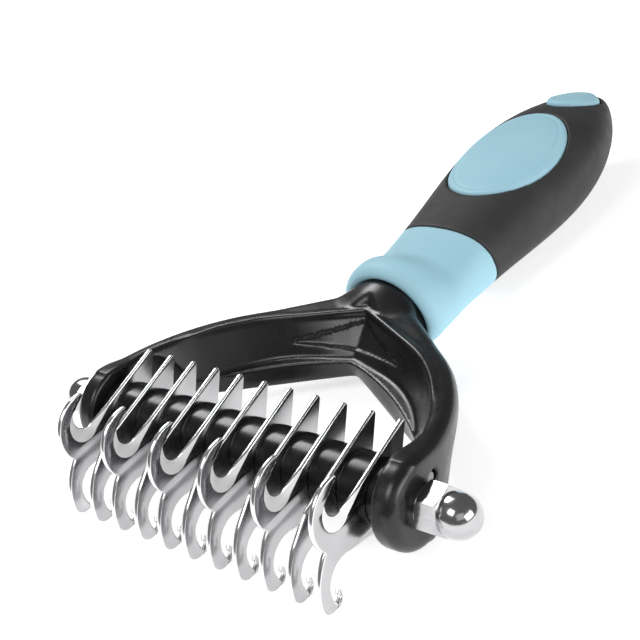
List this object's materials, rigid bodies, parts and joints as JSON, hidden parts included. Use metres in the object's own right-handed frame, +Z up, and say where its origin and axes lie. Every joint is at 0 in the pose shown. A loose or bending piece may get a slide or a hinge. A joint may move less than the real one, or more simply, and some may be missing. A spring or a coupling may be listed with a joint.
{
  "type": "dematting comb",
  "caption": "Hand-held dematting comb: a row of flat hooked and plain steel blades on a shaft, held in a forked yoke with a soft two-colour handle.",
  "frame": {"origin": "middle of the footprint, on the surface the comb lies on", "axes": "+X along the blade shaft towards the right arm, +Y from the blades towards the end of the handle, +Z up"},
  "size_m": [0.1206, 0.186, 0.027],
  "materials": {
    "black_plastic": "moulded, glossy",
    "spacer_plastic": "turned or moulded, glossy",
    "core_plastic": "moulded, hidden inside the handle",
    "grip_rubber": "soft-touch, matte",
    "blue_rubber": "soft-touch, satin",
    "blade_steel": "satin-polished faces with ground edges",
    "shaft_steel": "drawn, bright",
    "bright_plate": "polished plating"
  },
  "bodies": {
    "comb": {"yoke": "black_plastic", "handle_core": "core_plastic", "grip": "grip_rubber", "collar": "blue_rubber", "thumb_pad": "blue_rubber", "butt_pad": "blue_rubber", "shaft": "shaft_steel", "locating_rod": "shaft_steel", "hook_blade_1": "blade_steel", "plain_blade_2": "blade_steel", "hook_blade_3": "blade_steel", "plain_blade_4": "blade_steel", "hook_blade_5": "blade_steel", "plain_blade_6": "blade_steel", "hook_blade_7": "blade_steel", "plain_blade_8": "blade_steel", "hook_blade_9": "blade_steel", "plain_blade_10": "blade_steel", "hook_blade_11": "blade_steel", "end_spacer_left": "spacer_plastic", "spacer_1": "spacer_plastic", "spacer_2": "spacer_plastic", "spacer_3": "spacer_plastic", "spacer_4": "spacer_plastic", "spacer_5": "spacer_plastic", "spacer_6": "spacer_plastic", "spacer_7": "spacer_plastic", "spacer_8": "spacer_plastic", "spacer_9": "spacer_plastic", "spacer_10": "spacer_plastic", "end_spacer_right": "spacer_plastic"},
    "right_washer": {"washer_right": "bright_plate"},
    "right_nut": {"cap_nut_right": "bright_plate"},
    "left_washer": {"washer_left": "bright_plate"},
    "left_nut": {"cap_nut_left": "bright_plate"}
  },
  "joints": [
    {"name": "right_washer_slide", "type": "slide", "parent": "comb", "child": "right_washer", "axis": [1, 0, 0], "range_m": [0, 0.00801]},
    {"name": "right_nut_turn", "type": "hinge", "parent": "right_washer", "child": "right_nut", "pos_m": [0.0483, -0.06762, 0.01234], "axis": [1, 0, 0], "range_deg": [0, 2880]},
    {"name": "left_washer_slide", "type": "slide", "parent": "comb", "child": "left_washer", "axis": [-1, 0, 0], "range_m": [0, 0.00801]},
    {"name": "left_nut_turn", "type": "hinge", "parent": "left_washer", "child": "left_nut", "pos_m": [-0.0483, -0.06762, 0.01234], "axis": [-1, 0, 0], "range_deg": [0, 2880]}
  ],
  "couplings": [
    {"joint": "right_washer_slide", "follows": "right_nut_turn", "m_per_rad": 0.00015915},
    {"joint": "left_washer_slide", "follows": "left_nut_turn", "m_per_rad": 0.00015915}
  ]
}
